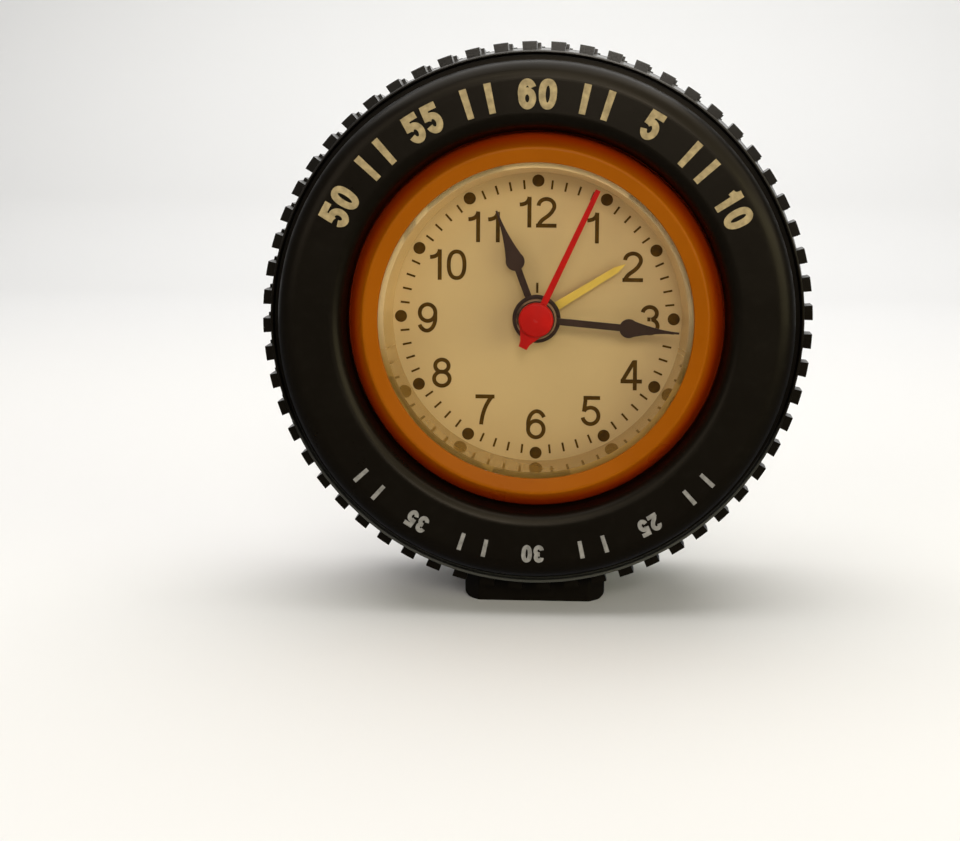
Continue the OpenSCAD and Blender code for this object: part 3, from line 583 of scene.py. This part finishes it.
def dial_numbers():
    """Hours 1 to 12; a few stand a little off the oval that the others follow."""
    nudge = {
        1: (0, -0.15),
        3: (0.5, 0),
        4: (0, -0.4),
        7: (0.6, 0),
        8: (0, -0.4),
        10: (1.0, 0),
        11: (0.2, -0.15),
    }
    shape = bmesh.new()
    for hour in range(1, 13):
        a = math.radians(30 * hour)
        one = number(str(hour), NUMBER_HEIGHT, NUMBER_STROKE, PRINT_THICK, NUMBER_WIDTH, 0.0)
        x, y = nudge.get(hour, (0, 0))
        one.transform(Matrix.Translation((
            NUMBER_OVAL[0] * math.sin(a) + x,
            NUMBER_OVAL[1] * math.cos(a) - NUMBER_DROP + y,
            PRINT_LEVEL,
        )))
        join(shape, one)
    piece("dial_numbers", shape, dial_ink)


def dial_marks():
    """Hour dots, minute ticks and the short tick by the hub."""
    shape = bmesh.new()
    for minute in range(60):
        turn = turned(6 * minute)
        if minute % 5 == 0:
            place = turn @ Matrix.Translation((0, DOT_CIRCLE, PRINT_LEVEL))
            bmesh.ops.create_circle(
                shape, cap_ends=True, segments=40, radius=DOT_RADIUS, matrix=place
            )
        else:
            bar(shape, TICK_SIZE, turn @ Matrix.Translation((0, TICK_CIRCLE, PRINT_LEVEL)))
    bar(shape, HUB_TICK_SIZE, Matrix.Translation((0, HUB_TICK_UP, PRINT_LEVEL)))
    thicken(shape, PRINT_THICK)
    piece("dial_marks", shape, dial_ink)


def sidewall_level(r):
    """Height of the front sidewall at a distance from the axis: lip round, flat, then shoulder."""
    flat_in, lip, flat_out, shoulder, top = 35.1, 2.2, 40.555, 3.6, 22.0
    least_square = 0.04
    if r < flat_in:
        return top - lip + math.sqrt(max(least_square, lip**2 - (flat_in - r) ** 2))
    if r > flat_out:
        return top - shoulder + math.sqrt(max(least_square, shoulder**2 - (r - flat_out) ** 2))
    return top


def lay_on_sidewall(shape, middle, angle):
    """Bends a flat shape round the tyre at a middle radius and sets it on the sidewall."""
    for v in shape.verts:
        a = math.radians(angle) + v.co.x / middle
        r = middle + v.co.y
        v.co = (r * math.sin(a), r * math.cos(a), sidewall_level(r) + v.co.z)


def minute_scale(name, marks, middle, height, weight, finish):
    """Plain raised minute numbers with bars of the same height and weight at minutes between them."""
    shape = bmesh.new()
    for minute in marks:
        if minute % 5 == 0:
            one = number(str(minute or 60), height, weight, RAISED_THICK, 0.95)
        elif minute % 5 in (2, 3):
            one = bmesh.new()
            bar(one, (weight, height), Matrix())
            thicken(one, RAISED_THICK)
        else:
            continue
        long = [e for e in one.edges if e.calc_length() > LONGEST_EDGE]
        bmesh.ops.subdivide_edges(one, edges=long, cuts=5, use_grid_fill=True)
        bmesh.ops.translate(one, vec=(0, 0, -RAISED_SUNK), verts=one.verts)
        lay_on_sidewall(one, middle, 6 * minute)
        join(shape, one)
    piece(name, shape, finish)


dial_numbers()
dial_marks()
minute_scale("upper_minutes", [m % 60 for m in range(-10, 11)], 38.1, 5.1, 1.15, raised_cream)
minute_scale("lower_minutes", range(22, 39), 39.5, 3.0, 0.7, raised_silver)

pale_floor = Finish("pale_floor").done({
    "Base Color": (0.86, 0.855, 0.845),
    "Roughness": 0.7,
    "Specular IOR Level": 0.2,
})


def studio_sheet(name, sweep, half_width=2.5):
    """A wide pale sheet behind and under the clock, along a line of (y, z) places."""
    ground = bmesh.new()
    y, z = sweep[0]
    left, right = (ground.verts.new((x, y, z)) for x in (-half_width, half_width))
    lead = ground.edges.new((left, right))
    for y, z in sweep[1:]:
        grown = bmesh.ops.extrude_edge_only(ground, edges=[lead])["geom"]
        lead = next(e for e in grown if isinstance(e, bmesh.types.BMEdge))
        for v in lead.verts:
            v.co.y, v.co.z = y, z
    bmesh.ops.recalc_face_normals(ground, faces=ground.faces)
    sheet = bpy.data.meshes.new(name)
    ground.to_mesh(sheet)
    ground.free()
    for face in sheet.polygons:
        face.use_smooth = True
    sheet.materials.append(pale_floor)
    made = bpy.data.objects.new(name, sheet)
    scene.collection.objects.link(made)
    return made


# The photo has no pale floor, so the floor stays out of the clock's gloss. The backdrop shows in it.
studio_sheet("floor", [(-0.3, 0), (0.6, 0)]).visible_glossy = False
studio_sheet("backdrop", [(0.6, 0), (0.9, 0), (1.2, 0.08), (1.42, 0.3), (1.5, 0.6), (1.5, 2.2)])

scene.view_settings.view_transform = "Standard"
scene.view_settings.look = "None"

world = bpy.data.worlds.new("studio")
world.use_nodes = True
sky = world.node_tree.nodes["Background"].inputs
sky["Color"].default_value = (0.9, 0.93, 1.0, 1)
sky["Strength"].default_value = 0.1
scene.world = world


def softbox(name, place, size, power, colour, aim=(0, 0, 0.05)):
    """A rectangular light at a place, turned toward its aim."""
    light = bpy.data.lights.new(name, "AREA")
    light.shape = "RECTANGLE"
    light.size, light.size_y = size
    light.energy = power
    light.color = colour
    lamp = bpy.data.objects.new(name, light)
    lamp.location = place
    lamp.rotation_euler = (Vector(aim) - Vector(place)).to_track_quat("-Z", "Y").to_euler()
    scene.collection.objects.link(lamp)
    return lamp


softbox("over_box", (-0.03, 0.07, 0.7), (1.0, 0.75), 5.6, (1.0, 0.98, 0.95), (0, -0.05, 0))
softbox("front_box", (0.08, -0.84, 0.37), (0.28, 0.28), 2.4, (1.0, 0.95, 0.88))
softbox("left_box", (-0.5, -0.68, 0.36), (0.5, 0.5), 1.3, (1.0, 0.93, 0.84))
softbox("window_box", (0.55, -0.42, 0.16), (0.55, 0.34), 1.9, (1.0, 0.98, 0.66))
softbox("back_box", (0.0, 0.75, 0.9), (1.6, 0.6), 9.0, (1.0, 1.0, 1.0), (0, 1.4, 0.2))
# A broad sheen on the upper shoulder of the tyre and a narrow one on its lip; both show only in gloss.
softbox("sheen_box", (0.4, -0.3, 0.56), (1.0, 0.9), 4.6, (1.0, 0.9, 0.7)).visible_diffuse = False
softbox("lip_box", (-0.05, -0.5, 0.5), (0.35, 0.2), 0.9, (1.0, 0.95, 0.82)).visible_diffuse = False

# Camera at the photo's height and side, its frame shifted to put the dial where it is there
PHOTO_WIDTH, PHOTO_HEIGHT, FOCAL_PIXELS = 960, 841, 1421
DIAL_ACROSS, DIAL_DOWN = 537, 317.6
SENSOR = 36.0
view_up, view_side, view_roll = (math.radians(d) for d in (4.2, 1.6, 0.6))
view_far = 0.25
dial_centre = Vector((0, -DIAL_FACE * MM, AXIS_UP * MM))
back = Vector((
    math.sin(view_side) * math.cos(view_up),
    -math.cos(view_side) * math.cos(view_up),
    math.sin(view_up),
))
lens = bpy.data.cameras.new("camera")
lens.sensor_width = SENSOR
lens.lens = FOCAL_PIXELS / PHOTO_WIDTH * SENSOR
lens.shift_x = -(DIAL_ACROSS - PHOTO_WIDTH / 2) / PHOTO_WIDTH
lens.shift_y = -(PHOTO_HEIGHT / 2 - DIAL_DOWN) / PHOTO_WIDTH
lens.clip_start = 0.01
camera = bpy.data.objects.new("camera", lens)
camera.location = dial_centre + back * view_far
camera.rotation_mode = "QUATERNION"
camera.rotation_quaternion = (-back).to_track_quat("-Z", "Y") @ Quaternion((0, 0, 1), view_roll)
scene.collection.objects.link(camera)
scene.camera = camera
